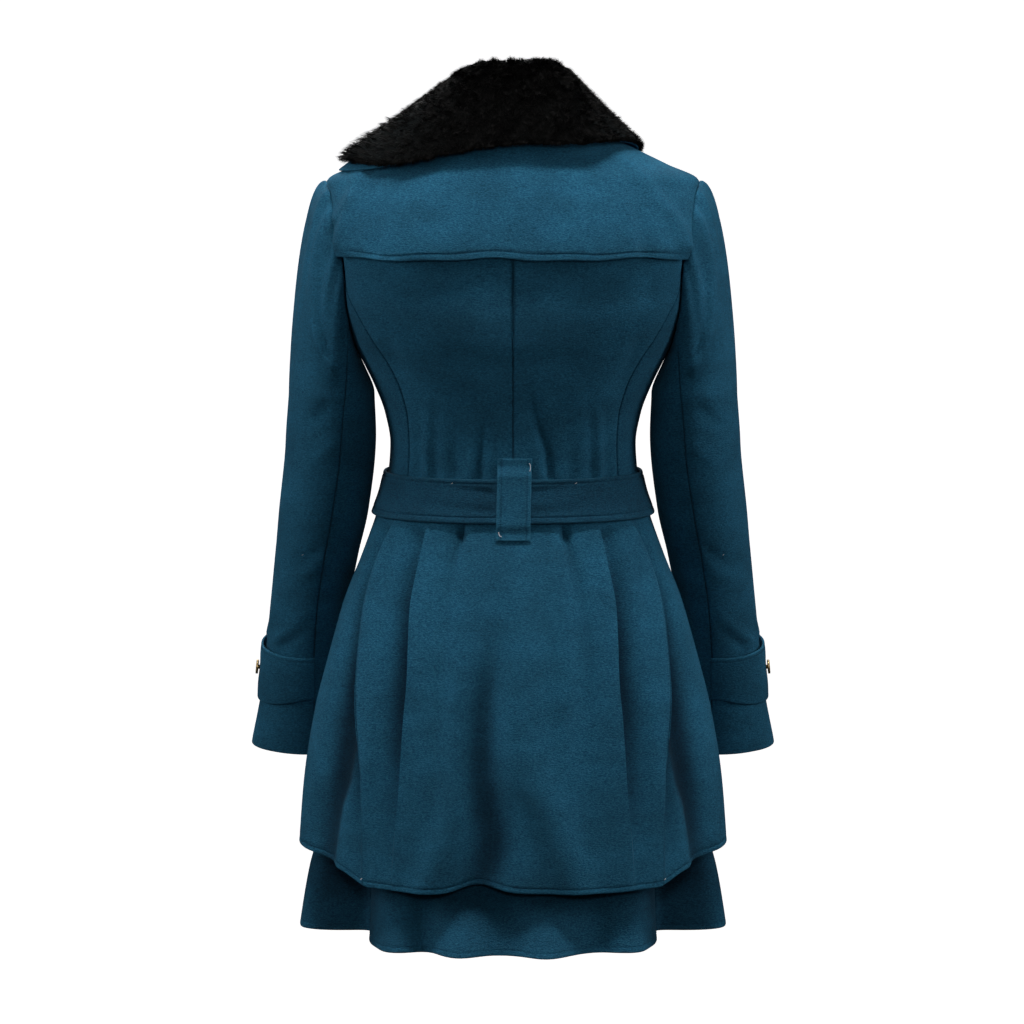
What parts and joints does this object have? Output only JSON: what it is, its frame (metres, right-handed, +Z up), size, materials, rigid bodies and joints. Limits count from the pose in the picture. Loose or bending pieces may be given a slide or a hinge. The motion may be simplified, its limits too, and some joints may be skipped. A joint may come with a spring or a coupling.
{
  "type": "trench coat",
  "caption": "Hollow worn-form belted winter coat: princess-line bodice, loose storm flap, large fur collar, half cuffs and a two-layer swing skirt.",
  "frame": {"origin": "middle of the neck opening at the level of the neck seam, where the wearer's shoulders hold the coat", "axes": "+Z up; +Y out of the coat's back; +X to the wearer's left"},
  "size_m": [0.5586, 0.3471, 0.8889],
  "materials": {
    "wool": "brushed wool cloth, dark peacock blue",
    "fur": "black short-pile fur",
    "old_brass": "antiqued brass, worn bright on its rims"
  },
  "bodies": {
    "root": {"back_left": "wool", "back_right": "wool", "side_back_left": "wool", "side_back_right": "wool", "side_front_left": "wool", "side_front_right": "wool", "front_left": "wool", "front_right": "wool", "storm_flap": "wool", "upper_sleeve_left": "wool", "upper_sleeve_right": "wool", "under_sleeve_left": "wool", "under_sleeve_right": "wool", "cuff_left": "wool", "cuff_right": "wool", "overskirt_back": "wool", "overskirt_left": "wool", "overskirt_right": "wool", "underskirt_back": "wool", "underskirt_left": "wool", "underskirt_right": "wool", "belt": "wool", "belt_loop": "wool", "under_collar": "wool", "fur_collar": "fur", "belt_buckle": "old_brass", "cuff_button_left": "old_brass", "cuff_button_right": "old_brass", "front_button_1": "old_brass", "front_button_2": "old_brass", "front_button_3": "old_brass", "front_button_4": "old_brass"}
  },
  "joints": []
}
